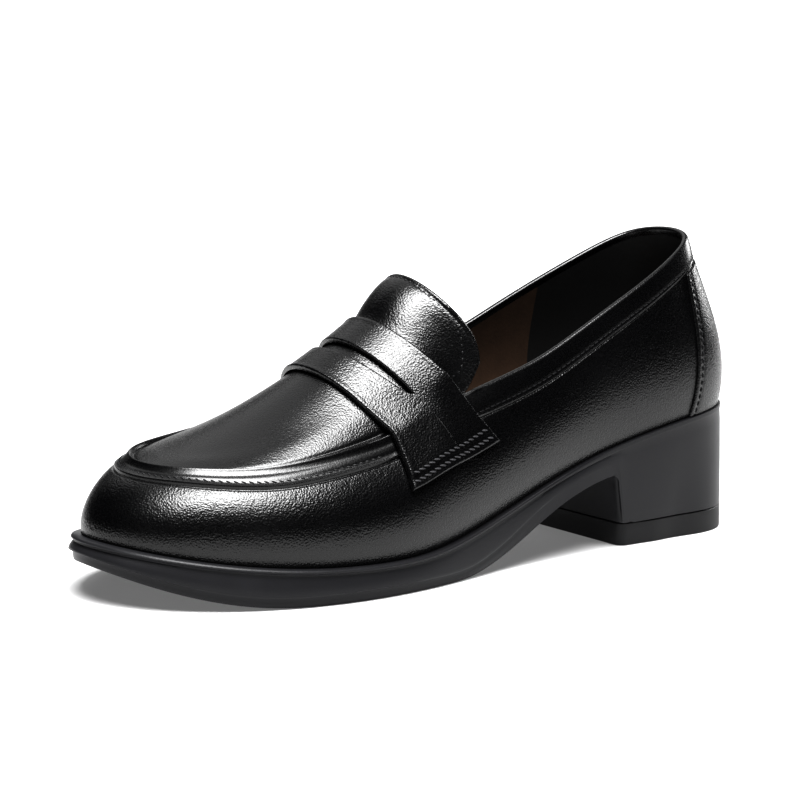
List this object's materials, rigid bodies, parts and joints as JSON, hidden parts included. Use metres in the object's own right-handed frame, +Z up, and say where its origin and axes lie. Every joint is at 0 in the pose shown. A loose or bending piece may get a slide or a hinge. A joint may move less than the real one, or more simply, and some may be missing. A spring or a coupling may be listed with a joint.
{
  "type": "loafer pump",
  "caption": "Women's penny loafer pump for the left foot: leather upper with apron seam, slotted strap and tongue on a moulded sole with a block heel.",
  "frame": {"origin": "on the floor, under the middle of the shoe's bounding box", "axes": "+Z up, toe towards -Y, lateral side towards +X"},
  "size_m": [0.0886, 0.2496, 0.1044],
  "materials": {
    "upper_leather": "black semi-gloss pebble grain",
    "tongue_leather": "black semi-gloss pebble grain",
    "strap_leather": "black semi-gloss pebble grain",
    "counter_leather": "black semi-gloss pebble grain",
    "insole_leather": "matte brown lining leather",
    "sole_rubber": "matte dark grey moulded rubber",
    "heel_rubber": "matte black hard rubber"
  },
  "bodies": {
    "root": {"upper": "upper_leather", "tongue": "tongue_leather", "saddle_strap": "strap_leather", "heel_counter": "counter_leather", "insole": "insole_leather", "sole_unit": "sole_rubber", "top_lift": "heel_rubber"}
  },
  "joints": []
}
